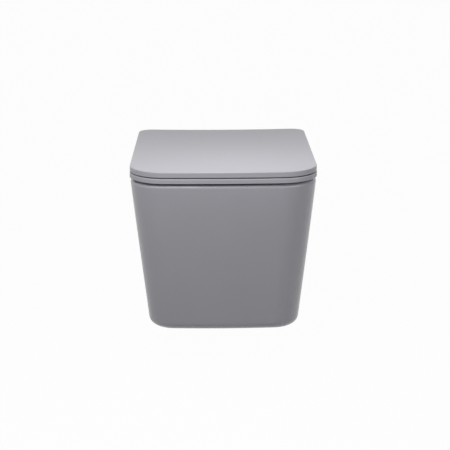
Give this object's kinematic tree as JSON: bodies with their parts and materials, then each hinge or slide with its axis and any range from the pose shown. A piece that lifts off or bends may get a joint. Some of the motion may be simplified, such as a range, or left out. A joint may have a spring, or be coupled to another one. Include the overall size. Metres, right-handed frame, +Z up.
{
  "type": "wall hung toilet",
  "caption": "Wall hung toilet: shrouded ceramic pan with a tapering straight-sided skirt, slim soft-close seat ring and flat lid, concealed wall fixing.",
  "frame": {"origin": "midway between the two wall studs, on the wall face", "axes": "+Z up, -Y out from the wall towards the user, +X to the right as seen from the front"},
  "size_m": [0.361, 0.501, 0.34],
  "materials": {
    "ceramic": "satin glaze, light grey",
    "guide_plastic": "moulded, satin",
    "sleeve_metal": "die cast, grey",
    "steel": "stainless, turned",
    "nylon": "natural nylon",
    "cap_plastic": "satin, ceramic colour",
    "black_rubber": "matt black",
    "nut_brass": "turned",
    "hinge_chrome": "satin chrome",
    "seat_plastic": "satin thermoset, light grey",
    "damper_plastic": "moulded, dark",
    "soft_rubber": "soft pale grey"
  },
  "bodies": {
    "pan": {"pan_skirt": "ceramic", "pan_rim": "ceramic", "bowl": "ceramic", "trapway": "ceramic", "flush_channel": "ceramic", "flush_guide": "guide_plastic", "wall_sleeves": "sleeve_metal", "side_screws": "steel", "screw_bushes": "nylon", "side_caps": "cap_plastic", "deck_gaskets": "black_rubber", "hinge_base_left": "hinge_chrome", "hinge_base_right": "hinge_chrome", "post_bolts": "steel", "expansion_sleeves": "black_rubber", "cone_nuts": "nut_brass", "hinge_housing_left": "hinge_chrome", "hinge_housing_right": "hinge_chrome", "hinge_pins": "steel", "button_springs": "steel"},
    "seat": {"seat_ring": "seat_plastic", "seat_bumpers": "soft_rubber", "seat_damper": "damper_plastic", "seat_bush": "nylon"},
    "lid": {"lid": "seat_plastic", "lid_bumpers": "soft_rubber", "lid_damper": "damper_plastic", "lid_bush": "nylon", "hinge_end_caps": "hinge_chrome"},
    "release_left": {"release_button_left": "hinge_chrome"},
    "release_right": {"release_button_right": "hinge_chrome"}
  },
  "joints": [
    {"name": "seat_hinge", "type": "hinge", "parent": "pan", "child": "seat", "pos_m": [0, -0.048, 0.0945], "axis": [-1, 0, 0], "range_deg": [0, 90]},
    {"name": "lid_hinge", "type": "hinge", "parent": "seat", "child": "lid", "pos_m": [0, -0.048, 0.0945], "axis": [1, 0, 0], "range_deg": [-92, 0]},
    {"name": "release_left_press", "type": "slide", "parent": "pan", "child": "release_left", "axis": [0, -1, 0], "range_m": [0, 0.002], "stiffness_N_per_m": 400, "springref_m": -0.001},
    {"name": "release_right_press", "type": "slide", "parent": "pan", "child": "release_right", "axis": [0, -1, 0], "range_m": [0, 0.002], "stiffness_N_per_m": 400, "springref_m": -0.001}
  ]
}
